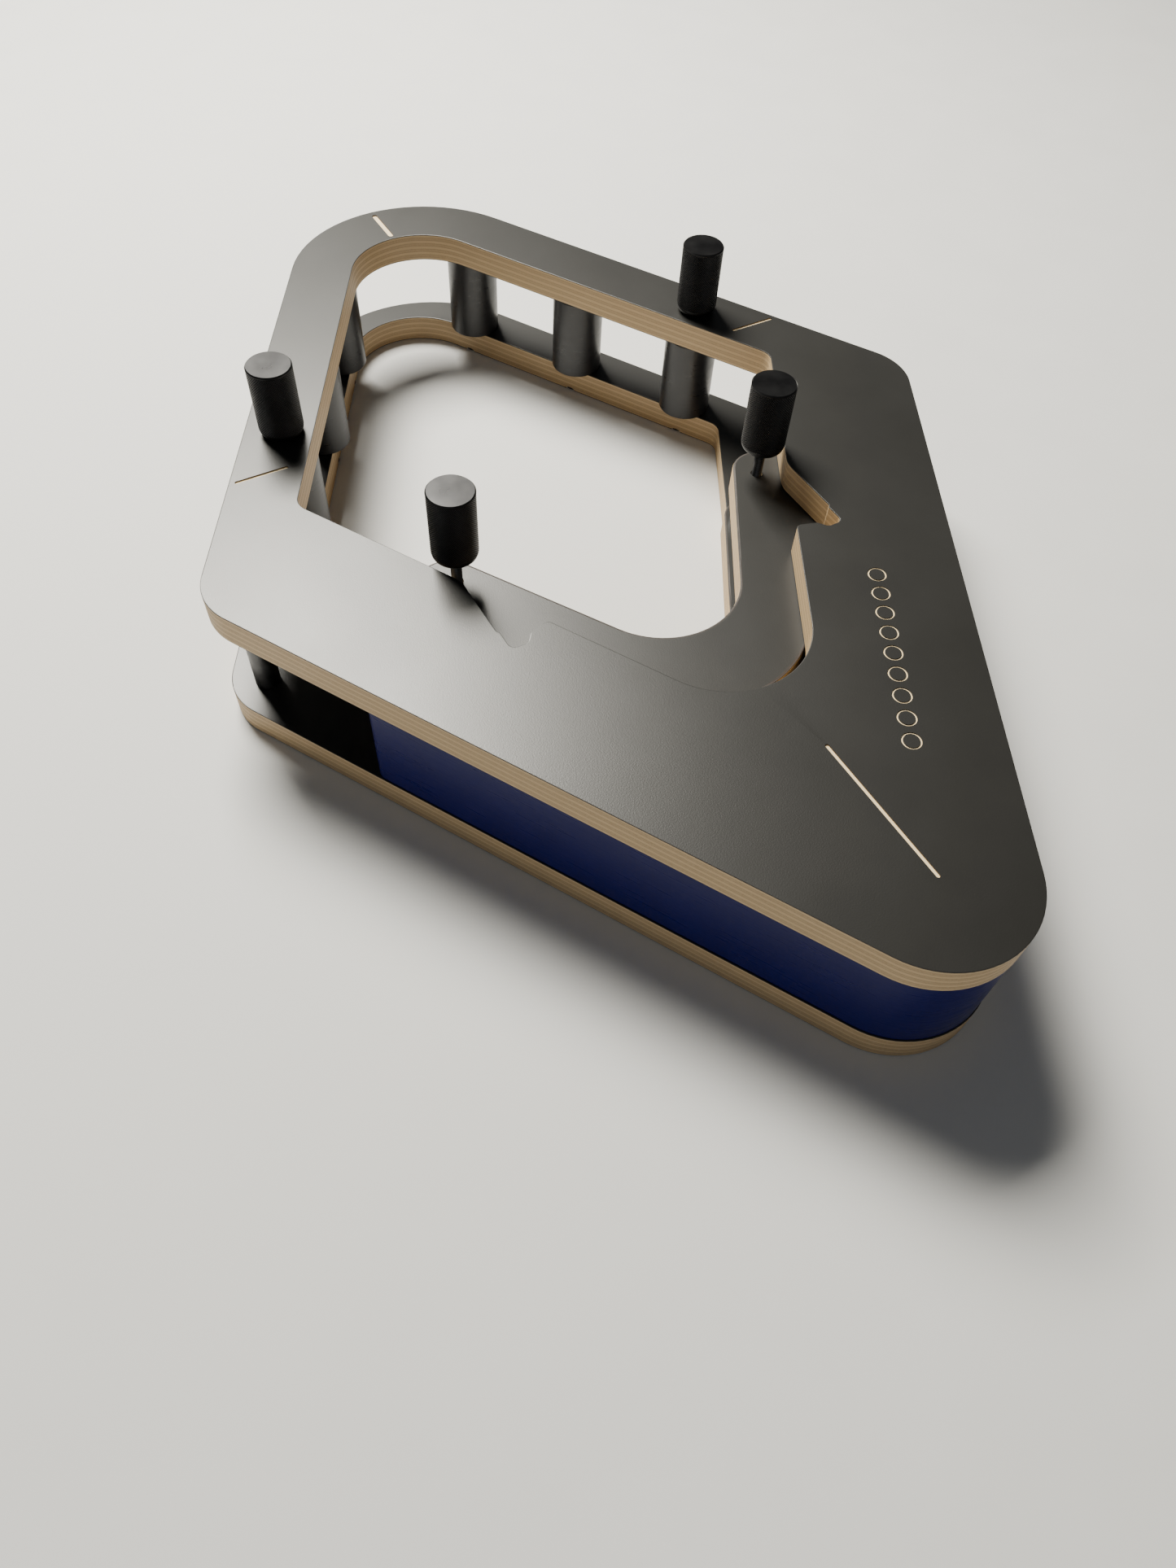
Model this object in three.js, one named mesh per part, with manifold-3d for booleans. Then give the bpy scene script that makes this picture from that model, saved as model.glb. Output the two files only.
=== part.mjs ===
// A diamond ball rack for nine pool balls: two plywood decks held apart by a corner block, posts and
// ball stops, and a V-shaped slider between the decks that squeezes the balls towards the front corner.
// Units are millimetres. +X is the long axis, towards the front corner, and +Z is up.
// The origin is on the underside, under the middle of the rack's bounding box.
import * as THREE from "three";
import { mergeVertices } from "three/addons/utils/BufferGeometryUtils.js";
import Module from "manifold-3d";

const wasm = await Module();
wasm.setup();

// The balls that the rack is made for, and the rhombus that their centres lie on.
const BALL_RADIUS = 28.575;
const ROW_STEP = BALL_RADIUS * Math.sqrt(3);

// Distances of parallel edges from the nearest line of ball centres.
const OUTER_FRONT = 54;
const OUTER_REAR = 104.2;
const TOP_OPENING_FRONT = BALL_RADIUS;
const TOP_OPENING_REAR = 49;
const BOTTOM_OPENING = 35;
const CORE_INNER = 85;
const CORE_OUTER = 103.8;

// Corner radii.
const FRONT_CORNER_R = 56;
const REAR_CORNER_R = 31.5;
const SIDE_CORNER_R = 22;
const OPENING_FRONT_R = 30;
const OPENING_REAR_R = 30.5;
const OPENING_SIDE_R = 7;
const CORE_INNER_R = 46;
const CORE_END_R = 4;

// The balls in the rear and front corners; the decks are centred on the origin.
const REAR_BALL_X =
  OUTER_REAR - OUTER_FRONT - 2 * ROW_STEP + (FRONT_CORNER_R - REAR_CORNER_R) / 2;
const FRONT_BALL_X = REAR_BALL_X + 4 * ROW_STEP;

// Heights.
const DECK_T = 11.5;
const CORE_H = 35.5;
const TOP_DECK_Z = DECK_T + CORE_H;
const DECK_TOP = TOP_DECK_Z + DECK_T;
const SLIDE_GAP = 0.3; // above and below the slider
const SLIDER_Z = DECK_T + SLIDE_GAP;
const SLIDER_TOP = TOP_DECK_Z - SLIDE_GAP;
const SPACER_Z = SLIDER_Z + DECK_T;
const SPACER_H = SLIDER_TOP - DECK_T - SPACER_Z;

// The slider: a V whose inner edge wraps the rear ball, with wings that run out between the decks.
// Its edges' distances are from the rear ball, and their angles from the long axis.
const SLIDER_ARM_ANGLE = THREE.MathUtils.degToRad(31.7);
const SLIDER_INNER = 29.3;
const SLIDER_OUTER = 61;
const SLIDER_END = 72.6;
const SLIDER_TIP_R = 11.5;
const SLIDER_OUTER_TIP_R = 6;
const SLIDER_FLANK_ANGLE = THREE.MathUtils.degToRad(56);
const SLIDER_FLANK = 58.2;
const SLIDER_NOSE_R = 44.2;
const SLIDER_SHOULDER_R = 20;
const STUD_X = REAR_BALL_X + 30;
const STUD_Y = 63.7;
const SLIDER_SCREW_X = REAR_BALL_X - 45;

// Knobs, studs and screws.
const KNOB_R = 8.3;
const KNOB_H = 27.6;
const KNOB_Z = DECK_TOP + 0.3;
const KNOB_FOOT_R = 2.4;
const KNOB_FOOT_STEPS = 4;
const KNOB_EDGE = 0.7;
const KNOB_BORE_DEPTH = 17;
const STUD_R = 2;
const STUD_TIP = KNOB_Z + 16;
const SCREW_R = 2.4;
const SCREW_TIP_EDGE = 0.6;
const HEAD_R = 5;
const HEAD_RIM = 0.3; // the straight rim below the head's cone
const HEAD_H = 2.6;
const HEAD_SINK = 0.4;
const HEX_R = 1.9;
const HEX_SIDES = 6;
const HEX_DEPTH = 1.8;
const CLEARANCE = 0.3; // radial, round every stud and screw
const SCREW_IN_TOP = 7; // how far a screw goes up into the plate above it

// The notch that each slider stud runs back into, as [x from the rear ball, y, corner radius]. It opens
// out of the top opening's rear side, and its outer edge steps in where a smaller cutter finished it.
const NOTCH_OUTER_Y = 67.2;
const NOTCH_INNER_Y = 50.3;
const NOTCH_MOUTH_R = 12;
const NOTCH_LIP_R = 2.2;
const NOTCH = [
  [-7.5, NOTCH_OUTER_Y, 0.5],
  [-8.5, 66.4, 0.5],
  [-16.6, 66.4, 2.5],
  [-16.6, 60.3, 2.5],
  [-13.2, 57.7, 0.8],
];

// Ball stops, posts and the slider's spacers.
const STOP_R = 11.2;
const FRONT_ROW = 4; // rows of balls are numbered from the rear ball's, 0
const STOP_ROW_NAMES = { 2: "side", 3: "middle", 4: "front" };
const STOP_ROWS = [2, 3, 4];
const KNOB_STOP_ROW = 2;
const POST_R = 4.5;
const POST_X = REAR_BALL_X + 48.8;
const POST_Y = 132.5;
const SPACER_R = 7;
const CORE_END_X = REAR_BALL_X - 8;
const CORE_SCREW_X = REAR_BALL_X - 60;
const CORE_SCREW_OFFSET = 94.4; // distance from the line of ball centres
const CORE_TIP_SCREW_X = REAR_BALL_X - 150;

// Engraved lines on the top face, each with its start, end and width.
const MARK_DEPTH = 0.5;
const FRONT_MARK = { start: REAR_BALL_X + 227, end: REAR_BALL_X + 247, width: 2.2 };
const REAR_MARK = { start: REAR_BALL_X - 148, end: REAR_BALL_X - 95, width: 1.3 };
const SIDE_MARK = { start: 97, end: 117, width: 1.3 };

// A row of engraved rings, one per ball, along the right rear side.
const RING_COUNT = 9;
const RING_PITCH = 9;
const RING_R = 3.3;
const RING_GROOVE = 0.6;
const RING_DEPTH = 0.3;
const RING_LINE = 74.2; // distance from the line of ball centres
const RING_START = 8; // how far behind the rear ball the first ring lies, along the side

const ROUND = 48; // facets round a full circle
const COS = Math.sqrt(3) / 2;
const TINY = 0.05; // how far a cutter runs past a face
const WELD = 1e-4; // vertices closer than this are one

const FILM = new THREE.MeshStandardMaterial({ color: 0x1b1a19, roughness: 0.45, metalness: 0 });
const PLY = new THREE.MeshStandardMaterial({ color: 0x2a2725, roughness: 0.5, metalness: 0 });
const BLUE = new THREE.MeshStandardMaterial({ color: 0x0a1e8c, roughness: 0.4, metalness: 0 });
const BLACK = new THREE.MeshStandardMaterial({ color: 0x0d0d0e, roughness: 0.35, metalness: 0 });
const KNOB = new THREE.MeshStandardMaterial({ color: 0x141415, roughness: 0.38, metalness: 0.6 });
const STEEL = new THREE.MeshStandardMaterial({ color: 0x3c3b3a, roughness: 0.35, metalness: 1 });

const rack = new THREE.Group();
const frame = new THREE.Group();
const slider = new THREE.Group();
rack.add(frame, slider);

// ---- solids -------------------------------------------------------------------------------------

function toManifold(geometry) {
  const bare = geometry.clone();
  bare.deleteAttribute("normal");
  bare.deleteAttribute("uv");
  const merged = mergeVertices(bare, WELD);
  return new wasm.Manifold(
    new wasm.Mesh({
      numProp: 3,
      vertProperties: new Float32Array(merged.attributes.position.array),
      triVerts: new Uint32Array(merged.index.array),
    }),
  );
}

function toGeometry(solid) {
  const mesh = solid.getMesh();
  const geometry = new THREE.BufferGeometry();
  geometry.setAttribute("position", new THREE.BufferAttribute(mesh.vertProperties, 3));
  geometry.setIndex(new THREE.BufferAttribute(mesh.triVerts, 1));
  geometry.computeVertexNormals();
  return geometry;
}

function addPart(group, name, solid, material) {
  const mesh = new THREE.Mesh(toGeometry(solid), material);
  mesh.name = name;
  group.add(mesh);
}

function subtractAll(solid, cutters) {
  return cutters.reduce((left, cutter) => left.subtract(cutter), solid);
}

// A closed outline from corners [x, y, radius]; each corner is rounded by an arc of its radius.
function roundedPath(path, corners) {
  corners.forEach(([x, y, radius], i) => {
    const before = corners[(i + corners.length - 1) % corners.length];
    const after = corners[(i + 1) % corners.length];
    const corner = new THREE.Vector2(x, y);
    const back = new THREE.Vector2(before[0], before[1]).sub(corner).normalize();
    const ahead = new THREE.Vector2(after[0], after[1]).sub(corner).normalize();
    const half = Math.acos(THREE.MathUtils.clamp(back.dot(ahead), -1, 1)) / 2;
    const reach = radius / Math.tan(half);
    const middle = back.clone().add(ahead).normalize();
    const centre = middle.multiplyScalar(radius / Math.sin(half)).add(corner);
    const start = back.multiplyScalar(reach).add(corner).sub(centre);
    const end = ahead.multiplyScalar(reach).add(corner).sub(centre);
    const clockwise = start.cross(end) < 0;
    path.absarc(centre.x, centre.y, radius, start.angle(), end.angle(), clockwise);
  });
  path.closePath();
  return path;
}

function plate(outline, z, height, holes = []) {
  outline.holes.push(...holes);
  const geometry = new THREE.ExtrudeGeometry(outline, {
    depth: height,
    bevelEnabled: false,
    curveSegments: ROUND / 4,
  });
  return toManifold(geometry.translate(0, 0, z));
}

// Closes an outline round two half-circles of this radius about [x0, y0] and [x1, y1].
function slotShape(x0, y0, x1, y1, radius) {
  const heading = Math.atan2(y1 - y0, x1 - x0);
  const shape = new THREE.Shape();
  shape.absarc(x0, y0, radius, heading + Math.PI / 2, heading - Math.PI / 2, false);
  shape.absarc(x1, y1, radius, heading - Math.PI / 2, heading + Math.PI / 2, false);
  shape.closePath();
  return shape;
}

function disc(x, y, z, radius, height, facets = ROUND / 2) {
  const geometry = new THREE.CylinderGeometry(radius, radius, height, facets);
  return toManifold(geometry.rotateX(Math.PI / 2).translate(x, y, z + height / 2));
}

// ---- the rhombus --------------------------------------------------------------------------------

// Where an edge parallel to a rear side, at this distance from the ball centres, reaches this y.
function rearEdgeX(offset, y) {
  return REAR_BALL_X + (COS * y - offset) / 0.5;
}

// Corners of a rhombus whose front and rear sides lie at these distances from the ball centres.
function rhombus(front, rear, frontR, sideR, rearR) {
  const sideX = (FRONT_BALL_X + REAR_BALL_X) / 2 + front - rear;
  const sideY = (0.5 * (FRONT_BALL_X - REAR_BALL_X) + front + rear) / (2 * COS);
  return [
    [FRONT_BALL_X + 2 * front, 0, frontR],
    [sideX, sideY, sideR],
    [REAR_BALL_X - 2 * rear, 0, rearR],
    [sideX, -sideY, sideR],
  ];
}

// The ball stops stand against the front-side balls, on the normals of the rhombus's front sides.
function stopPlaces() {
  const places = [];
  for (const side of [1, -1])
    for (const row of STOP_ROWS) {
      const ballX = REAR_BALL_X + row * ROW_STEP;
      const ballY = (FRONT_ROW - row) * BALL_RADIUS;
      const reach = BALL_RADIUS + STOP_R;
      places.push({ side, row, x: ballX + 0.5 * reach, y: side * (ballY + COS * reach) });
    }
  return places;
}

const STOPS = stopPlaces();
const SIDES = [
  { name: "left", sign: 1 },
  { name: "right", sign: -1 },
];

function sideName(sign) {
  return sign > 0 ? "left" : "right";
}

function coreScrewPlaces() {
  const y = (CORE_SCREW_OFFSET + 0.5 * (CORE_SCREW_X - REAR_BALL_X)) / COS;
  return [
    { name: "left", x: CORE_SCREW_X, y },
    { name: "right", x: CORE_SCREW_X, y: -y },
    { name: "rear", x: CORE_TIP_SCREW_X, y: 0 },
  ];
}

// ---- fasteners ----------------------------------------------------------------------------------

// A countersunk screw or stud standing on its head, with a hexagonal socket in the head.
function countersunk(x, y, headZ, tipZ, radius) {
  const profile = [
    [0, headZ],
    [HEAD_R, headZ],
    [HEAD_R, headZ + HEAD_RIM],
    [radius, headZ + HEAD_H],
    [radius, tipZ - SCREW_TIP_EDGE],
    [radius - SCREW_TIP_EDGE, tipZ],
    [0, tipZ],
  ].map(([r, z]) => new THREE.Vector2(r, z));
  const turned = toManifold(new THREE.LatheGeometry(profile, ROUND / 2).rotateX(Math.PI / 2));
  const socket = disc(0, 0, headZ - TINY, HEX_R, HEX_DEPTH + TINY, HEX_SIDES);
  return turned.subtract(socket).translate([x, y, 0]);
}

// The hole that a countersunk screw or stud sits in, from the face its head is sunk into.
function countersunkHole(x, y, faceZ, headZ, tipZ, radius) {
  const wide = HEAD_R + CLEARANCE;
  const narrow = radius + CLEARANCE;
  const profile = [
    [0, faceZ - TINY],
    [wide, faceZ - TINY],
    [wide, headZ + HEAD_RIM],
    [narrow, headZ + HEAD_H + CLEARANCE],
    [narrow, tipZ],
    [0, tipZ],
  ].map(([r, z]) => new THREE.Vector2(r, z));
  const turned = toManifold(new THREE.LatheGeometry(profile, ROUND / 2).rotateX(Math.PI / 2));
  return turned.translate([x, y, 0]);
}

// A handle with a rounded foot and a chamfered top, bored from below for its stud.
function knob(x, y) {
  const top = KNOB_Z + KNOB_H;
  const bore = STUD_R + CLEARANCE;
  const roof = KNOB_Z + KNOB_BORE_DEPTH;
  const foot = [];
  for (let step = 0; step <= KNOB_FOOT_STEPS; step++) {
    const turn = ((Math.PI / 2) * step) / KNOB_FOOT_STEPS;
    const r = KNOB_R - KNOB_FOOT_R * (1 - Math.sin(turn));
    foot.push([r, KNOB_Z + KNOB_FOOT_R * (1 - Math.cos(turn))]);
  }
  const profile = [
    [0, roof],
    [bore, roof],
    [bore, KNOB_Z],
    ...foot,
    [KNOB_R, top - KNOB_EDGE],
    [KNOB_R - KNOB_EDGE, top],
    [0, top],
  ].map(([r, z]) => new THREE.Vector2(r, z));
  const turned = toManifold(new THREE.LatheGeometry(profile, ROUND).rotateX(Math.PI / 2));
  return turned.translate([x, y, 0]);
}

// ---- the frame ----------------------------------------------------------------------------------

function deckOutline() {
  const corners = rhombus(OUTER_FRONT, OUTER_REAR, FRONT_CORNER_R, SIDE_CORNER_R, REAR_CORNER_R);
  return roundedPath(new THREE.Shape(), corners);
}

// The top opening is a rhombus with a notch for each stud cut back into its rear sides.
function topOpening() {
  const ends = [OPENING_FRONT_R, OPENING_SIDE_R, OPENING_REAR_R];
  const [front, left, rear] = rhombus(TOP_OPENING_FRONT, TOP_OPENING_REAR, ...ends);
  const leftSide = [
    left,
    [rearEdgeX(TOP_OPENING_REAR, NOTCH_OUTER_Y), NOTCH_OUTER_Y, NOTCH_MOUTH_R],
    ...NOTCH.map(([x, y, r]) => [REAR_BALL_X + x, y, r]),
    [rearEdgeX(TOP_OPENING_REAR, NOTCH_INNER_Y), NOTCH_INNER_Y, NOTCH_LIP_R],
  ];
  const rightSide = leftSide.map(([x, y, r]) => [x, -y, r]).reverse();
  return roundedPath(new THREE.Path(), [front, ...leftSide, rear, ...rightSide]);
}

// Cutters for the lines engraved at the four corners, each with rounded ends.
function marks() {
  const z = DECK_TOP - MARK_DEPTH;
  const middleX = (FRONT_BALL_X + REAR_BALL_X) / 2;
  const along = [FRONT_MARK, REAR_MARK].map(({ start, end, width }) => {
    const radius = width / 2;
    return plate(slotShape(start + radius, 0, end - radius, 0, radius), z, MARK_DEPTH + TINY);
  });
  const across = SIDES.map(({ sign }) => {
    const radius = SIDE_MARK.width / 2;
    const y0 = sign * (SIDE_MARK.start + radius);
    const y1 = sign * (SIDE_MARK.end - radius);
    return plate(slotShape(middleX, y0, middleX, y1, radius), z, MARK_DEPTH + TINY);
  });
  return [...along, ...across];
}

// Cutters for the row of rings.
function rings() {
  const z = DECK_TOP - RING_DEPTH;
  const height = RING_DEPTH + TINY;
  const cutters = [];
  for (let i = 0; i < RING_COUNT; i++) {
    const back = RING_START + i * RING_PITCH;
    const x = REAR_BALL_X - 0.5 * RING_LINE - COS * back;
    const y = -(COS * RING_LINE - 0.5 * back);
    const core = disc(x, y, z - TINY, RING_R - RING_GROOVE, height + 2 * TINY);
    cutters.push(disc(x, y, z, RING_R, height).subtract(core));
  }
  return cutters;
}

function topDeck() {
  const whole = plate(deckOutline(), TOP_DECK_Z, DECK_T, [topOpening()]);
  const screwTop = TOP_DECK_Z + SCREW_IN_TOP + CLEARANCE;
  const blind = screwPlaces().map(({ x, y }) =>
    disc(x, y, TOP_DECK_Z - TINY, SCREW_R + CLEARANCE, screwTop - TOP_DECK_Z + TINY),
  );
  const through = knobStops().map(({ x, y }) =>
    disc(x, y, TOP_DECK_Z - TINY, STUD_R + CLEARANCE, DECK_T + 2 * TINY),
  );
  return subtractAll(whole, [...marks(), ...rings(), ...blind, ...through]);
}

function bottomDeck() {
  const radii = [OPENING_FRONT_R, OPENING_SIDE_R, OPENING_REAR_R];
  const corners = rhombus(BOTTOM_OPENING, BOTTOM_OPENING, ...radii);
  const opening = roundedPath(new THREE.Path(), corners);
  const whole = plate(deckOutline(), 0, DECK_T, [opening]);
  const end = DECK_T + TINY;
  const screws = screwPlaces().map(({ x, y }) => countersunkHole(x, y, 0, HEAD_SINK, end, SCREW_R));
  const studs = knobStops().map(({ x, y }) => countersunkHole(x, y, 0, HEAD_SINK, end, STUD_R));
  return subtractAll(whole, [...screws, ...studs]);
}

// The block in the rear corner: a thick V whose ends are square to the rack's sides.
function cornerCore() {
  const outerY = (CORE_OUTER + 0.5 * (CORE_END_X - REAR_BALL_X)) / COS;
  const depth = CORE_OUTER - CORE_INNER;
  const innerX = CORE_END_X + 0.5 * depth;
  const innerY = outerY - COS * depth;
  const corners = [
    [REAR_BALL_X - 2 * CORE_OUTER, 0, REAR_CORNER_R - (OUTER_REAR - CORE_OUTER)],
    [CORE_END_X, -outerY, CORE_END_R],
    [innerX, -innerY, CORE_END_R],
    [REAR_BALL_X - 2 * CORE_INNER, 0, CORE_INNER_R],
    [innerX, innerY, CORE_END_R],
    [CORE_END_X, outerY, CORE_END_R],
  ];
  const whole = plate(roundedPath(new THREE.Shape(), corners), DECK_T, CORE_H);
  return subtractAll(whole, coreScrewPlaces().map(({ x, y }) => boreThrough(x, y, SCREW_R)));
}

function boreThrough(x, y, radius) {
  return disc(x, y, DECK_T - TINY, radius + CLEARANCE, CORE_H + 2 * TINY);
}

function sleeve(x, y, radius, boreRadius) {
  return disc(x, y, DECK_T, radius, CORE_H, ROUND).subtract(boreThrough(x, y, boreRadius));
}

// The stops under the frame knobs are held by the knobs' long studs, the others by screws.
function knobStops() {
  return STOPS.filter(({ row }) => row === KNOB_STOP_ROW);
}

function screwedStops() {
  return STOPS.filter(({ row }) => row !== KNOB_STOP_ROW);
}

function stopName({ side, row }) {
  return STOP_ROW_NAMES[row] + "_" + sideName(side);
}

function screwPlaces() {
  const stops = screwedStops().map((stop) => ({ ...stop, label: "stop_screw_" + stopName(stop) }));
  const posts = SIDES.map(({ name, sign }) => ({
    x: POST_X,
    y: sign * POST_Y,
    label: "post_screw_" + name,
  }));
  const core = coreScrewPlaces().map(({ name, x, y }) => ({ x, y, label: "core_screw_" + name }));
  return [...stops, ...posts, ...core];
}

function addFrame() {
  addPart(frame, "top_deck", topDeck(), FILM);
  addPart(frame, "bottom_deck", bottomDeck(), FILM);
  addPart(frame, "corner_core", cornerCore(), BLUE);
  for (const { name, sign } of SIDES)
    addPart(frame, "corner_post_" + name, sleeve(POST_X, sign * POST_Y, POST_R, SCREW_R), STEEL);
  for (const stop of STOPS) {
    const bore = stop.row === KNOB_STOP_ROW ? STUD_R : SCREW_R;
    addPart(frame, "ball_stop_" + stopName(stop), sleeve(stop.x, stop.y, STOP_R, bore), BLACK);
  }
  const screwTip = TOP_DECK_Z + SCREW_IN_TOP;
  for (const { x, y, label } of screwPlaces())
    addPart(frame, label, countersunk(x, y, HEAD_SINK, screwTip, SCREW_R), STEEL);
  for (const { x, y, side } of knobStops()) {
    const name = sideName(side);
    addPart(frame, "frame_stud_" + name, countersunk(x, y, HEAD_SINK, STUD_TIP, STUD_R), STEEL);
    addPart(frame, "frame_knob_" + name, knob(x, y), KNOB);
  }
}

// ---- the slider ---------------------------------------------------------------------------------

// A point at this distance out from the rear ball, square to the left arm, and along it.
function armPoint(out, along) {
  const x = along * Math.cos(SLIDER_ARM_ANGLE) - out * Math.sin(SLIDER_ARM_ANGLE);
  const y = along * Math.sin(SLIDER_ARM_ANGLE) + out * Math.cos(SLIDER_ARM_ANGLE);
  return [REAR_BALL_X + x, y];
}

// Where the left arm's outer edge meets the flank that runs on to the nose.
function shoulderPoint() {
  const turn = Math.sin(SLIDER_FLANK_ANGLE - SLIDER_ARM_ANGLE);
  const across = SLIDER_OUTER * Math.cos(SLIDER_FLANK_ANGLE) - SLIDER_FLANK * Math.cos(SLIDER_ARM_ANGLE);
  const up = SLIDER_OUTER * Math.sin(SLIDER_FLANK_ANGLE) - SLIDER_FLANK * Math.sin(SLIDER_ARM_ANGLE);
  return [REAR_BALL_X + across / turn, up / turn];
}

function sliderPlate(z) {
  const leftSide = [
    [...armPoint(SLIDER_INNER, SLIDER_END), SLIDER_TIP_R],
    [...armPoint(SLIDER_OUTER, SLIDER_END), SLIDER_OUTER_TIP_R],
    [...shoulderPoint(), SLIDER_SHOULDER_R],
  ];
  const rightSide = leftSide.map(([x, y, r]) => [x, -y, r]).reverse();
  const nose = [REAR_BALL_X - SLIDER_FLANK / Math.sin(SLIDER_FLANK_ANGLE), 0, SLIDER_NOSE_R];
  const inside = [REAR_BALL_X - SLIDER_INNER / Math.sin(SLIDER_ARM_ANGLE), 0, SLIDER_INNER];
  const corners = [inside, ...leftSide, nose, ...rightSide];
  return plate(roundedPath(new THREE.Shape(), corners), z, DECK_T);
}

function studPlaces() {
  return SIDES.map(({ name, sign }) => ({ name, x: STUD_X, y: sign * STUD_Y }));
}

function upperPlate() {
  const z = SLIDER_TOP - DECK_T;
  const studs = studPlaces().map(({ x, y }) =>
    disc(x, y, z - TINY, STUD_R + CLEARANCE, DECK_T + 2 * TINY),
  );
  const depth = SCREW_IN_TOP + CLEARANCE + TINY;
  const blind = disc(SLIDER_SCREW_X, 0, z - TINY, SCREW_R + CLEARANCE, depth);
  return subtractAll(sliderPlate(z), [...studs, blind]);
}

function lowerPlate() {
  const head = SLIDER_Z + HEAD_SINK;
  const end = SPACER_Z + TINY;
  const studs = studPlaces().map(({ x, y }) => countersunkHole(x, y, SLIDER_Z, head, end, STUD_R));
  const rear = countersunkHole(SLIDER_SCREW_X, 0, SLIDER_Z, head, end, SCREW_R);
  return subtractAll(sliderPlate(SLIDER_Z), [...studs, rear]);
}

function spacer(x, y, boreRadius) {
  const bore = disc(x, y, SPACER_Z - TINY, boreRadius + CLEARANCE, SPACER_H + 2 * TINY);
  return disc(x, y, SPACER_Z, SPACER_R, SPACER_H, ROUND).subtract(bore);
}

function addSlider() {
  addPart(slider, "slider_upper_plate", upperPlate(), PLY);
  addPart(slider, "slider_lower_plate", lowerPlate(), PLY);
  const head = SLIDER_Z + HEAD_SINK;
  for (const { name, x, y } of studPlaces()) {
    addPart(slider, "slider_spacer_" + name, spacer(x, y, STUD_R), BLACK);
    addPart(slider, "slider_stud_" + name, countersunk(x, y, head, STUD_TIP, STUD_R), STEEL);
    addPart(slider, "slider_knob_" + name, knob(x, y), KNOB);
  }
  const screwTip = SLIDER_TOP - DECK_T + SCREW_IN_TOP;
  addPart(slider, "slider_spacer_rear", spacer(SLIDER_SCREW_X, 0, SCREW_R), BLACK);
  const screw = countersunk(SLIDER_SCREW_X, 0, head, screwTip, SCREW_R);
  addPart(slider, "slider_screw_rear", screw, STEEL);
}

addFrame();
addSlider();

export default rack;
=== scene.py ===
import math

import bmesh
import bpy
from mathutils import Matrix, Vector


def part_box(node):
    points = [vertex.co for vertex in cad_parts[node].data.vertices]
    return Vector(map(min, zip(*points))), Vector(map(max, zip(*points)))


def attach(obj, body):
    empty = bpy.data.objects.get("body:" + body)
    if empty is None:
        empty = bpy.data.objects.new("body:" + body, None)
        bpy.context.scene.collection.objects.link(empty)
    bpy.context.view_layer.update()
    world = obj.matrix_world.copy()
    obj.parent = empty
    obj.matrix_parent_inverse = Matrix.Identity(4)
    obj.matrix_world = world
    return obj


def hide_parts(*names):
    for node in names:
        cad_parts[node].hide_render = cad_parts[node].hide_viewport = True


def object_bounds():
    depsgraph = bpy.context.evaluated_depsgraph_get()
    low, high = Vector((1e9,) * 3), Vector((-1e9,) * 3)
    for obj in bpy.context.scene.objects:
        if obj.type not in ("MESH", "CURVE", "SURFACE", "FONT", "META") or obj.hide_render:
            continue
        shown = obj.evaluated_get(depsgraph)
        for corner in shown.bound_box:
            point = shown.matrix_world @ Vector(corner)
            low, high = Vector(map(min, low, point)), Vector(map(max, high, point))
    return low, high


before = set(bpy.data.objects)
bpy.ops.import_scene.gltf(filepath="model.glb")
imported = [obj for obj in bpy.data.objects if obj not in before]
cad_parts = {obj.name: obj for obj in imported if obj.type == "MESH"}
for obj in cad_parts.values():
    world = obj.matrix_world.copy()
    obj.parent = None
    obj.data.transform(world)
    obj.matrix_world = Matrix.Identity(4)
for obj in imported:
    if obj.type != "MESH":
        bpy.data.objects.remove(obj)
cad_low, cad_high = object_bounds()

MM = 0.001
SIDES = ("left", "right")
STOP_PLACES = ("side", "middle", "front")
KNOB_STOP_PLACE = "side"

# Camera and picture.
CAMERA_EYE = Vector((-0.26596, 0.17218, 0.31982))
CAMERA_TARGET = Vector((-0.09347, 0.06000, 0.03000))
CAMERA_ROLL = math.radians(4.056)
CAMERA_LENS = 25.195
SENSOR_HEIGHT = 36.0
CLIP_START = 0.01
FLOOR_SIZE = 4.0

# Lights: place, size across, power and colour; all point at the rack.
LIGHT_TARGET = Vector((0.0, 0.0, 0.05))
LIGHTS = {
    "key_light": ((0.75, 0.01, 0.98), 0.50, 44.0, (1.0, 0.965, 0.87)),
    "fill_light": ((-1.1, 0.9, 0.7), 1.2, 2.2, (0.92, 0.96, 1.0)),
}
WORLD_COLOUR = (0.95, 0.97, 1.0, 1.0)
WORLD_STRENGTH = 0.06

# Edges and surfaces.
DECK_EDGE = 0.35 * MM
SLIDER_EDGE = 1.0 * MM
CORE_EDGE = 0.6 * MM
SLEEVE_CHAMFER = 0.6 * MM
SLEEVE_EASE = 0.3 * SLEEVE_CHAMFER
LEAST_WALL = 2 * MM
BORE_REACH = 6 * MM
SAME_RADIUS = 0.01 * MM
SHARP_EDGE = math.radians(30)
FLAT = math.radians(0.5)
SAME_PLACE = 1e-6
BEVEL_STEPS = 2
BEVEL_PROFILE = 0.6
PLIES = 9
FILM_THICKNESS = 0.4 * MM

# The film's embossed grain: cells to the metre, and how deep it is.
FILM_GRAIN = 2100.0
FILM_FINE_GRAIN = 3600.0
FILM_CLOUDS = 16.0
FILM_GRAIN_DEPTH = 0.03 * MM

# How upright a plate's face has to be to wear film: nearly level, or on the bevel too.
FILM_ON_FLAT = 0.98
FILM_ON_BEVEL = 0.3
LEVEL = 0.999
LEAST_ENGRAVING = 0.1 * MM
MOST_ENGRAVING = 1.0 * MM

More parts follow.
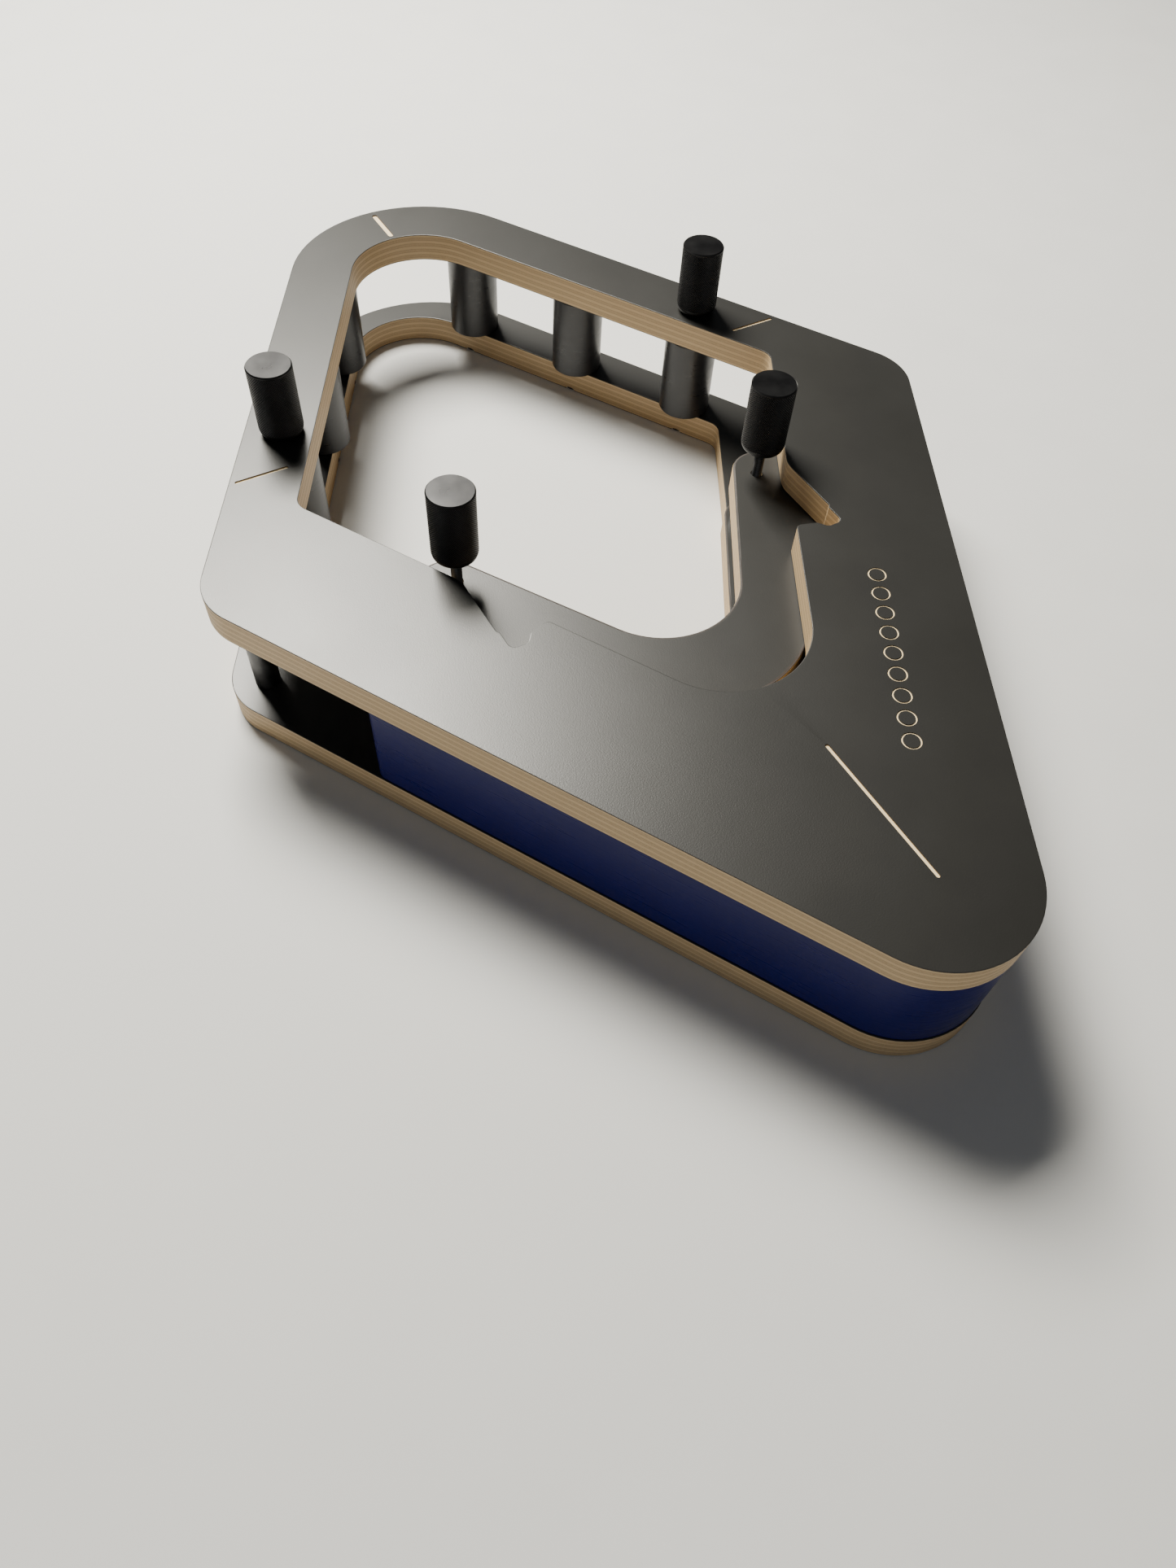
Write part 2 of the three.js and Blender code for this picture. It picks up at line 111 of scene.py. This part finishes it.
# Knobs: a diamond knurl with as many points round as fit the knob at this pitch.
KNURL_DEPTH = 0.20 * MM
KNURL_POINTS = 60
KNURL_PITCH = 0.87 * MM
KNOB_FACETS = 2 * KNURL_POINTS
KNOB_TOP_CHAMFER = 0.45 * MM
KNOB_SHOULDER = 1.3 * KNOB_TOP_CHAMFER
KNURL_END = 1.6 * KNOB_TOP_CHAMFER
KNOB_FOOT_ROUND = 2.4 * MM
KNOB_FOOT_STEPS = 6

# Studs and screws.
STUD_RADIUS = 2.0 * MM
SCREW_RADIUS = 2.4 * MM
BORE_GAP = 0.3 * MM
HEAD_RIM = 0.3 * MM
HEAD_HEIGHT = 2.6 * MM
SOCKET_RADIUS = 1.9 * MM
SOCKET_DEPTH = 1.8 * MM
SOCKET_LEAD = 0.25 * MM
SOCKET_DIMPLE = 0.2 * SOCKET_RADIUS
TIP_EDGE = 0.6 * MM
THREAD_PITCH = 0.7 * MM
THREAD_DEPTH = 0.35 * MM
STUD_THREAD_BELOW = 3 * MM
SCREW_THREAD = 6.5 * MM
SCREW_FACETS = 24
ROUND_FACETS = 64


# ---- shader nodes ---------------------------------------------------------------------------------

def new_material(name):
    material = bpy.data.materials.new(name)
    material.use_nodes = True
    tree = material.node_tree
    return material, tree, tree.nodes["Principled BSDF"]


def put(tree, socket, value):
    """Links a node's output to the socket, or sets the plain value on it."""
    if isinstance(value, bpy.types.NodeSocket):
        tree.links.new(value, socket)
    else:
        socket.default_value = value


def node(tree, kind, settings=None, inputs=None):
    made = tree.nodes.new(kind)
    for key, value in (settings or {}).items():
        setattr(made, key, value)
    for key, value in (inputs or {}).items():
        put(tree, made.inputs[key], value)
    return made


def place(tree):
    """A point's place in the piece's own axes."""
    return node(tree, "ShaderNodeTexCoord").outputs["Object"]


def stretched(tree, scale):
    mapping = node(tree, "ShaderNodeMapping", None, {"Vector": place(tree), "Scale": scale})
    return mapping.outputs["Vector"]


def noise_of(tree, vector, scale, detail=4.0, roughness=0.5, distortion=0.0):
    inputs = {
        "Vector": vector,
        "Scale": scale,
        "Detail": detail,
        "Roughness": roughness,
        "Distortion": distortion,
    }
    return node(tree, "ShaderNodeTexNoise", None, inputs).outputs["Fac"]


def math_of(tree, operation, a, b=0.0):
    return node(tree, "ShaderNodeMath", {"operation": operation}, {0: a, 1: b}).outputs[0]


def spread(tree, value, low, high, to_low, to_high):
    inputs = {
        "Value": value,
        "From Min": low,
        "From Max": high,
        "To Min": to_low,
        "To Max": to_high,
    }
    return node(tree, "ShaderNodeMapRange", {"clamp": True}, inputs).outputs["Result"]


def mixed(tree, factor, a, b):
    made = node(tree, "ShaderNodeMix", {"data_type": "RGBA"})
    put(tree, made.inputs[0], factor)
    put(tree, made.inputs[6], a)
    put(tree, made.inputs[7], b)
    return made.outputs[2]


def bumped(tree, height, distance, strength):
    inputs = {"Height": height, "Distance": distance, "Strength": strength}
    return node(tree, "ShaderNodeBump", None, inputs).outputs["Normal"]


# ---- materials ------------------------------------------------------------------------------------

def film_material(name, tone):
    """The embossed phenolic film on the plywood's faces: a fine leather grain, rubbed areas, dust."""
    material, tree, shader = new_material(name)
    where = place(tree)
    grain = noise_of(tree, where, FILM_GRAIN, 3.0, 0.55, 0.2)
    fine = noise_of(tree, where, FILM_FINE_GRAIN, 2.0, 0.5)
    height = math_of(tree, "ADD", grain, math_of(tree, "MULTIPLY", fine, 0.3))
    clouds = noise_of(tree, where, FILM_CLOUDS, 5.0, 0.62)
    rubbed = spread(tree, clouds, 0.35, 0.70, 0.0, 1.0)
    dark = tuple(channel * 0.93 for channel in tone) + (1.0,)
    light = tuple(channel * 1.08 for channel in tone) + (1.0,)
    base = mixed(tree, rubbed, dark, light)
    specks = spread(tree, noise_of(tree, where, 1100.0, 3.0, 0.7), 0.72, 0.80, 0.0, 0.10)
    dusty = mixed(tree, specks, base, (0.28, 0.26, 0.23, 1.0))
    put(tree, shader.inputs["Base Color"], dusty)
    put(tree, shader.inputs["Roughness"], spread(tree, clouds, 0.3, 0.7, 0.35, 0.38))
    shader.inputs["IOR"].default_value = 1.55
    put(tree, shader.inputs["Normal"], bumped(tree, height, FILM_GRAIN_DEPTH, 0.8))
    return material


def ply_material(name, low, high):
    """The cut edge of a plywood plate between two heights: crossed plies, glue lines and film."""
    material, tree, shader = new_material(name)
    where = place(tree)
    parts = node(tree, "ShaderNodeSeparateXYZ", None, {0: where})
    wander = spread(tree, noise_of(tree, where, 45.0, 2.0), 0.3, 0.7, -0.10, 0.10)
    layer = spread(tree, parts.outputs["Z"], low, high, 0.0, PLIES)
    layer = math_of(tree, "ADD", layer, wander)
    part = math_of(tree, "FRACT", layer)
    pair = math_of(tree, "FRACT", math_of(tree, "MULTIPLY", layer, 0.5))
    crossed = math_of(tree, "GREATER_THAN", pair, 0.5)
    glue = math_of(tree, "ABSOLUTE", math_of(tree, "SUBTRACT", part, 0.5))
    glue = spread(tree, glue, 0.43, 0.48, 0.0, 1.0)
    grain = noise_of(tree, stretched(tree, (70.0, 70.0, 2200.0)), 1.0, 5.0, 0.65, 0.4)
    pores = noise_of(tree, stretched(tree, (1500.0, 1500.0, 2200.0)), 1.0, 3.0, 0.7)
    long_ply = mixed(tree, grain, (0.66, 0.49, 0.28, 1.0), (0.50, 0.35, 0.18, 1.0))
    end_ply = mixed(tree, pores, (0.57, 0.41, 0.23, 1.0), (0.37, 0.25, 0.13, 1.0))
    wood = mixed(tree, crossed, long_ply, end_ply)
    wood = mixed(tree, math_of(tree, "MULTIPLY", glue, 0.65), wood, (0.15, 0.09, 0.05, 1.0))
    fade = 0.2 * FILM_THICKNESS
    top = high - FILM_THICKNESS
    bottom = low + FILM_THICKNESS
    above = spread(tree, parts.outputs["Z"], top, top + fade, 0.0, 1.0)
    below = spread(tree, parts.outputs["Z"], bottom - fade, bottom, 1.0, 0.0)
    skin = math_of(tree, "MAXIMUM", above, below)
    colour = mixed(tree, skin, wood, (0.030, 0.022, 0.018, 1.0))
    put(tree, shader.inputs["Base Color"], colour)
    put(tree, shader.inputs["Roughness"], spread(tree, pores, 0.3, 0.7, 0.5, 0.7))
    relief = math_of(tree, "ADD", grain, pores)
    relief = math_of(tree, "SUBTRACT", relief, math_of(tree, "MULTIPLY", glue, 0.6))
    put(tree, shader.inputs["Normal"], bumped(tree, relief, 0.08 * MM, 0.7))
    return material


def bare_wood_material():
    """The pale wood at the bottom of the engraved lines."""
    material, tree, shader = new_material("engraved_wood")
    grain = noise_of(tree, stretched(tree, (120.0, 1100.0, 1100.0)), 1.0, 4.0, 0.6)
    colour = mixed(tree, grain, (0.92, 0.76, 0.48, 1.0), (0.74, 0.57, 0.34, 1.0))
    put(tree, shader.inputs["Base Color"], colour)
    put(tree, shader.inputs["Roughness"], spread(tree, grain, 0.3, 0.7, 0.6, 0.8))
    put(tree, shader.inputs["Normal"], bumped(tree, grain, 0.08 * MM, 0.6))
    return material


def blue_material():
    """Machined blue plastic: saturated, lightly streaked, with a soft gloss."""
    material, tree, shader = new_material("blue_plastic")
    where = place(tree)
    streaks = noise_of(tree, stretched(tree, (40.0, 40.0, 1400.0)), 1.0, 3.0, 0.5)
    clouds = noise_of(tree, where, 60.0, 4.0, 0.6)
    colour = mixed(tree, clouds, (0.0006, 0.0018, 0.065, 1.0), (0.0009, 0.0030, 0.095, 1.0))
    put(tree, shader.inputs["Base Color"], colour)
    put(tree, shader.inputs["Roughness"], spread(tree, streaks, 0.3, 0.7, 0.26, 0.40))
    shader.inputs["Specular IOR Level"].default_value = 0.2
    height = math_of(tree, "ADD", streaks, noise_of(tree, where, 900.0, 2.0))
    put(tree, shader.inputs["Normal"], bumped(tree, height, 0.03 * MM, 0.7))
    return material


def black_plastic_material():
    """Moulded black plastic with a satin skin and faint scuffs."""
    material, tree, shader = new_material("black_plastic")
    where = place(tree)
    scuffs = noise_of(tree, stretched(tree, (120.0, 120.0, 900.0)), 1.0, 4.0, 0.6)
    skin = noise_of(tree, where, 1500.0, 2.0)
    colour = mixed(tree, scuffs, (0.008, 0.008, 0.009, 1.0), (0.018, 0.018, 0.020, 1.0))
    put(tree, shader.inputs["Base Color"], colour)
    put(tree, shader.inputs["Roughness"], spread(tree, scuffs, 0.3, 0.7, 0.26, 0.42))
    put(tree, shader.inputs["Normal"], bumped(tree, skin, 0.02 * MM, 0.6))
    return material


def anodised_material(name, shine, wear_tone):
    """Black anodised aluminium, rubbed a little lighter where hands and cloth reach it."""
    material, tree, shader = new_material(name)
    where = place(tree)
    fine = noise_of(tree, where, 2600.0, 2.0)
    wear = noise_of(tree, where, 130.0, 2.0, 0.5)
    rubbed = spread(tree, wear, 0.35, 0.75, 0.0, 1.0)
    colour = mixed(tree, rubbed, (0.010, 0.010, 0.011, 1.0), wear_tone)
    put(tree, shader.inputs["Base Color"], colour)
    shader.inputs["Metallic"].default_value = 0.7
    put(tree, shader.inputs["Roughness"], spread(tree, wear, 0.3, 0.7, shine, shine + 0.03))
    put(tree, shader.inputs["Normal"], bumped(tree, fine, 0.012 * MM, 0.4))
    return material


def steel_material():
    """Dark steel studs and screws with a brushed, slightly oily surface."""
    material, tree, shader = new_material("dark_steel")
    where = place(tree)
    brushed = noise_of(tree, stretched(tree, (300.0, 300.0, 3000.0)), 1.0, 3.0)
    stain = noise_of(tree, where, 240.0, 4.0, 0.6)
    colour = mixed(tree, stain, (0.05, 0.05, 0.052, 1.0), (0.14, 0.14, 0.14, 1.0))
    put(tree, shader.inputs["Base Color"], colour)
    shader.inputs["Metallic"].default_value = 1.0
    put(tree, shader.inputs["Roughness"], spread(tree, stain, 0.3, 0.7, 0.30, 0.46))
    put(tree, shader.inputs["Normal"], bumped(tree, brushed, 0.02 * MM, 0.6))
    return material


# ---- meshes ---------------------------------------------------------------------------------------

def finished(bm, name, materials, body, replaced):
    """Makes a piece from the bmesh, smooth but for its sharp edges, and ties it to the frame."""
    mesh = bpy.data.meshes.new(name)
    bmesh.ops.recalc_face_normals(bm, faces=bm.faces)
    bm.to_mesh(mesh)
    bm.free()
    for material in materials:
        mesh.materials.append(material)
    mesh.polygons.foreach_set("use_smooth", [True] * len(mesh.polygons))
    mesh.set_sharp_from_angle(angle=SHARP_EDGE)
    piece = bpy.data.objects.new(name, mesh)
    bpy.context.scene.collection.objects.link(piece)
    weighted = piece.modifiers.new("even_shading", "WEIGHTED_NORMAL")
    weighted.keep_sharp = True
    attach(piece, body)
    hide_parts(*replaced)
    return piece


def cad_bmesh(node_name):
    """A copy of a CAD node's mesh with its triangles joined into flat faces."""
    bm = bmesh.new()
    bm.from_mesh(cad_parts[node_name].data)
    bmesh.ops.remove_doubles(bm, verts=bm.verts, dist=SAME_PLACE)
    bmesh.ops.dissolve_limit(bm, angle_limit=FLAT, verts=bm.verts, edges=bm.edges)
    return bm


def face_drop(face):
    heights = [vert.co.z for vert in face.verts]
    return max(heights) - min(heights)


def bore_places():
    """Where the studs and screws stand, seen from above."""
    names = [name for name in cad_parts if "stud" in name or "screw" in name]
    return [middle_of(name)[0].xy for name in sorted(names)]


def rings_bore(edge, bore):
    """True for an edge of a hole round a stud or screw: its ends lie near the axis, equally far."""
    near, far = sorted((vert.co.xy - bore).length for vert in edge.verts)
    return far < BORE_REACH and far - near < SAME_RADIUS


def rim_edges(bm):
    """Sharp level edges of the tall walls; engraved lines and the bores for screws stay crisp."""
    bores = bore_places()
    found = []
    for edge in bm.edges:
        if len(edge.link_faces) != 2 or edge.calc_face_angle() < SHARP_EDGE:
            continue
        one, other = edge.verts
        level = abs(one.co.z - other.co.z) < SAME_PLACE
        in_bore = any(rings_bore(edge, bore) for bore in bores)
        if level and not in_bore and max(face_drop(face) for face in edge.link_faces) > LEAST_WALL:
            found.append(edge)
    return found


def soften(bm, width):
    edges = rim_edges(bm)
    bmesh.ops.bevel(
        bm,
        geom=edges,
        offset=width,
        segments=BEVEL_STEPS,
        profile=BEVEL_PROFILE,
        affect="EDGES",
        clamp_overlap=False,
    )


def is_engraved(face, top):
    """True for the floor of a line engraved in the top face; its walls cut through the dark film."""
    highest = max(vert.co.z for vert in face.verts)
    return face.normal.z > LEVEL and LEAST_ENGRAVING < top - highest < MOST_ENGRAVING


def plate_piece(node_name, piece_name, body, edge, materials):
    """A plywood plate: film on its faces, plies on its cut edges, bare wood in its engraved lines.

    A wide edge is cut through the film, so it shows wood; a narrow one is film all round."""
    low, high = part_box(node_name)
    bm = cad_bmesh(node_name)
    soften(bm, edge)
    bm.normal_update()
    least_film = FILM_ON_FLAT if edge > FILM_THICKNESS else FILM_ON_BEVEL
    for face in bm.faces:
        middle = face.calc_center_median().z
        outside = middle > high.z - MM or middle < low.z + MM
        face.material_index = 0 if outside and abs(face.normal.z) > least_film else 1
        if len(materials) > 2 and is_engraved(face, high.z):
            face.material_index = 2
    return finished(bm, piece_name, materials, body, [node_name])


def ring(bm, centre, radius, height, facets):
    made = []
    for i in range(facets):
        angle = 2 * math.pi * i / facets
        offset = Vector((radius * math.cos(angle), radius * math.sin(angle), 0))
        made.append(bm.verts.new(Vector((centre.x, centre.y, height)) + offset))
    return made


def skin(bm, lower, upper):
    """Quads between two rings of the same count."""
    made = []
    count = len(lower)
    for i in range(count):
        after = (i + 1) % count
        made.append(bm.faces.new((lower[i], lower[after], upper[after], upper[i])))
    return made


def turned(bm, centre, profile, facets):
    """A hollow solid of revolution from a closed loop of (radius, height) points."""
    rings = [ring(bm, centre, radius, height, facets) for radius, height in profile]
    for lower, upper in zip(rings, rings[1:] + rings[:1]):
        skin(bm, lower, upper)


def middle_of(node_name):
    low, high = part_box(node_name)
    return (low + high) / 2, low, high


def sleeve_piece(node_name, body, material, bore):
    """A turned tube with broken edges, such as a ball stop, post or spacer."""
    centre, low, high = middle_of(node_name)
    radius = (high.x - low.x) / 2
    cut = SLEEVE_CHAMFER
    bm = bmesh.new()
    profile = [
        (bore, low.z),
        (radius - cut, low.z),
        (radius - SLEEVE_EASE, low.z + SLEEVE_EASE),
        (radius, low.z + cut),
        (radius, high.z - cut),
        (radius - SLEEVE_EASE, high.z - SLEEVE_EASE),
        (radius - cut, high.z),
        (bore, high.z),
    ]
    turned(bm, centre, profile, ROUND_FACETS)
    return finished(bm, node_name + "_sleeve", [material], body, [node_name])


def knurl(bm, centre, radius, low, high):
    """A diamond knurl: rings whose points stand out and in by turns, so that quads fold to pyramids."""
    rows = max(2, round((high - low) / (KNURL_PITCH / 2)))
    rings = []
    for row in range(rows + 1):
        height = low + (high - low) * row / rows
        made = []
        for i in range(KNOB_FACETS):
            inner = (i + row) % 2 == 1 or row in (0, rows)
            reach = radius - (KNURL_DEPTH if inner else 0.0)
            angle = 2 * math.pi * i / KNOB_FACETS
            offset = Vector((reach * math.cos(angle), reach * math.sin(angle), 0))
            made.append(bm.verts.new(Vector((centre.x, centre.y, height)) + offset))
        rings.append(made)
    for row, (lower, upper) in enumerate(zip(rings, rings[1:])):
        for i in range(KNOB_FACETS):
            after = (i + 1) % KNOB_FACETS
            a, b, c, d = lower[i], lower[after], upper[after], upper[i]
            if (i + row) % 2 == 1:
                bm.faces.new((a, b, c))
                bm.faces.new((a, c, d))
            else:
                bm.faces.new((a, b, d))
                bm.faces.new((b, c, d))
    return rings[0], rings[-1]


def knob_piece(node_name, body, side_material, top_material):
    """A knurled knob with a rounded foot, a broken top edge and a satin turned top."""
    centre, low, high = middle_of(node_name)
    radius = (high.x - low.x) / 2
    waist = radius - KNURL_DEPTH
    bm = bmesh.new()
    below, last = knurl(bm, centre, radius, low.z + KNOB_FOOT_ROUND, high.z - KNURL_END)
    for step in range(1, KNOB_FOOT_STEPS + 1):
        angle = math.pi / 2 * step / KNOB_FOOT_STEPS
        reach = waist - KNOB_FOOT_ROUND * (1 - math.cos(angle))
        height = low.z + KNOB_FOOT_ROUND * (1 - math.sin(angle))
        lower = ring(bm, centre, reach, height, KNOB_FACETS)
        skin(bm, lower, below)
        below = lower
    bm.faces.new(list(reversed(below)))
    shoulder = ring(bm, centre, radius, high.z - KNOB_SHOULDER, KNOB_FACETS)
    rim = ring(bm, centre, radius, high.z - KNOB_TOP_CHAMFER, KNOB_FACETS)
    edge = ring(bm, centre, radius - KNOB_TOP_CHAMFER, high.z, KNOB_FACETS)
    skin(bm, last, shoulder)
    skin(bm, shoulder, rim)
    tops = skin(bm, rim, edge)
    tops.append(bm.faces.new(edge))
    for face in tops:
        face.material_index = 1
    materials = [side_material, top_material]
    return finished(bm, node_name + "_knurled", materials, body, [node_name])


def hexagon(bm, centre, radius, height, facets):
    """A hexagon drawn with as many points as the rings it joins."""
    made = []
    for i in range(facets):
        angle = 2 * math.pi * i / facets
        into = angle % (math.pi / 3) - math.pi / 6
        reach = radius * math.cos(math.pi / 6) / math.cos(into)
        offset = Vector((reach * math.cos(angle), reach * math.sin(angle), 0))
        made.append(bm.verts.new(Vector((centre.x, centre.y, height)) + offset))
    return made


def thread(bm, centre, neck, radius, low, high):
    """A plain shank up to low, then a screw thread up to high, as stacked cones."""
    below = ring(bm, centre, radius, low, SCREW_FACETS)
    skin(bm, neck, below)
    turns = int((high - low) / THREAD_PITCH)
    for turn in range(turns):
        for share, reach in ((0.5, radius - THREAD_DEPTH), (1.0, radius)):
            above = ring(bm, centre, reach, low + THREAD_PITCH * (turn + share), SCREW_FACETS)
            skin(bm, below, above)
            below = above
    return below


def screw_piece(node_name, body, material, shank, thread_from):
    """A countersunk screw or stud: a head with a hexagonal socket and a threaded shank."""
    centre, low, high = middle_of(node_name)
    head_radius = (high.x - low.x) / 2
    bm = bmesh.new()
    floor_z = low.z + SOCKET_DEPTH
    floor = ring(bm, centre, SOCKET_DIMPLE, floor_z, SCREW_FACETS)
    bm.faces.new(floor)
    loops = [
        floor,
        hexagon(bm, centre, SOCKET_RADIUS, floor_z, SCREW_FACETS),
        hexagon(bm, centre, SOCKET_RADIUS, low.z + SOCKET_LEAD, SCREW_FACETS),
        ring(bm, centre, SOCKET_RADIUS + SOCKET_LEAD, low.z, SCREW_FACETS),
        ring(bm, centre, head_radius - HEAD_RIM / 2, low.z, SCREW_FACETS),
        ring(bm, centre, head_radius, low.z + HEAD_RIM / 2, SCREW_FACETS),
        ring(bm, centre, head_radius, low.z + HEAD_RIM, SCREW_FACETS),
        ring(bm, centre, shank, low.z + HEAD_HEIGHT, SCREW_FACETS),
    ]
    for one, other in zip(loops, loops[1:]):
        skin(bm, one, other)
    last = thread(bm, centre, loops[-1], shank, thread_from, high.z - TIP_EDGE)
    tip = ring(bm, centre, shank - TIP_EDGE, high.z, SCREW_FACETS)
    skin(bm, last, tip)
    bm.faces.new(tip)
    return finished(bm, node_name + "_turned", [material], body, [node_name])


# ---- the rack -------------------------------------------------------------------------------------

def make_plates():
    film = film_material("deck_film", (0.017, 0.0165, 0.015))
    slider_film = film_material("slider_film", (0.019, 0.0185, 0.017))
    wood = bare_wood_material()
    plates = [
        ("top_deck", "deck_upper", "frame", DECK_EDGE, film, [wood]),
        ("bottom_deck", "deck_lower", "frame", DECK_EDGE, film, []),
        ("slider_upper_plate", "slider_plate_upper", "slider", SLIDER_EDGE, slider_film, []),
        ("slider_lower_plate", "slider_plate_lower", "slider", SLIDER_EDGE, slider_film, []),
    ]
    for node_name, piece_name, body, edge, face_material, extra in plates:
        low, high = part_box(node_name)
        plies = ply_material(piece_name + "_plies", low.z, high.z)
        plate_piece(node_name, piece_name, body, edge, [face_material, plies] + extra)


def make_core(blue):
    core = cad_bmesh("corner_core")
    soften(core, CORE_EDGE)
    finished(core, "corner_block", [blue], "frame", ["corner_core"])


def make_sleeves(post_metal, black):
    screw_bore = SCREW_RADIUS + BORE_GAP
    stud_bore = STUD_RADIUS + BORE_GAP
    for side in SIDES:
        sleeve_piece("corner_post_" + side, "frame", post_metal, screw_bore)
        for where in STOP_PLACES:
            hole = stud_bore if where == KNOB_STOP_PLACE else screw_bore
            sleeve_piece("ball_stop_" + where + "_" + side, "frame", black, hole)
        sleeve_piece("slider_spacer_" + side, "slider", black, stud_bore)
    sleeve_piece("slider_spacer_rear", "slider", black, screw_bore)


def make_knobs():
    knurled = anodised_material("knob_side", 0.40, (0.018, 0.018, 0.019, 1.0))
    satin = anodised_material("knob_top", 0.27, (0.024, 0.024, 0.025, 1.0))
    for side in SIDES:
        for name, body in (("frame_knob_", "frame"), ("slider_knob_", "slider")):
            knob_piece(name + side, body, knurled, satin)


def make_screws(steel):
    deck_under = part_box("top_deck")[0].z
    for name in sorted(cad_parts):
        body = "slider" if name.startswith("slider") else "frame"
        if "stud" in name:
            screw_piece(name, body, steel, STUD_RADIUS, deck_under - STUD_THREAD_BELOW)
        elif "screw" in name:
            thread_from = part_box(name)[1].z - SCREW_THREAD
            screw_piece(name, body, steel, SCREW_RADIUS, thread_from)


def make_pieces():
    steel = steel_material()
    make_plates()
    make_core(blue_material())
    make_sleeves(steel, black_plastic_material())
    make_knobs()
    make_screws(steel)


# ---- stage ----------------------------------------------------------------------------------------

def floor_material():
    material, tree, shader = new_material("studio_floor")
    speckle = noise_of(tree, place(tree), 30.0, 3.0)
    colour = mixed(tree, speckle, (0.72, 0.72, 0.71, 1.0), (0.76, 0.76, 0.75, 1.0))
    put(tree, shader.inputs["Base Color"], colour)
    put(tree, shader.inputs["Roughness"], spread(tree, speckle, 0.3, 0.7, 0.72, 0.82))
    put(tree, shader.inputs["Normal"], bumped(tree, speckle, 0.2 * MM, 0.3))
    return material


def make_floor():
    bm = bmesh.new()
    bmesh.ops.create_grid(bm, x_segments=2, y_segments=2, size=FLOOR_SIZE)
    mesh = bpy.data.meshes.new("floor")
    bm.to_mesh(mesh)
    bm.free()
    mesh.materials.append(floor_material())
    floor = bpy.data.objects.new("floor", mesh)
    floor.location.z = cad_low.z
    bpy.context.scene.collection.objects.link(floor)


def aim(obj, eye, target, roll=0.0):
    turn = (target - eye).to_track_quat("-Z", "Y").to_matrix().to_4x4()
    obj.matrix_world = Matrix.Translation(eye) @ turn @ Matrix.Rotation(roll, 4, "Z")


def make_camera():
    data = bpy.data.cameras.new("camera")
    data.sensor_fit = "VERTICAL"
    data.sensor_height = SENSOR_HEIGHT
    data.lens = CAMERA_LENS
    data.clip_start = CLIP_START
    camera = bpy.data.objects.new("camera", data)
    bpy.context.scene.collection.objects.link(camera)
    aim(camera, CAMERA_EYE, CAMERA_TARGET, CAMERA_ROLL)
    bpy.context.scene.camera = camera


def area_light(name, eye, size, power, colour):
    data = bpy.data.lights.new(name, "AREA")
    data.shape = "SQUARE"
    data.size = size
    data.energy = power
    data.color = colour
    light = bpy.data.objects.new(name, data)
    bpy.context.scene.collection.objects.link(light)
    aim(light, Vector(eye), LIGHT_TARGET)


def make_lights():
    world = bpy.data.worlds.new("studio")
    bpy.context.scene.world = world
    world.use_nodes = True
    background = world.node_tree.nodes["Background"]
    background.inputs["Color"].default_value = WORLD_COLOUR
    background.inputs["Strength"].default_value = WORLD_STRENGTH
    for name, (eye, size, power, colour) in LIGHTS.items():
        area_light(name, eye, size, power, colour)


make_pieces()
make_floor()
make_camera()
make_lights()

bpy.context.view_layer.update()
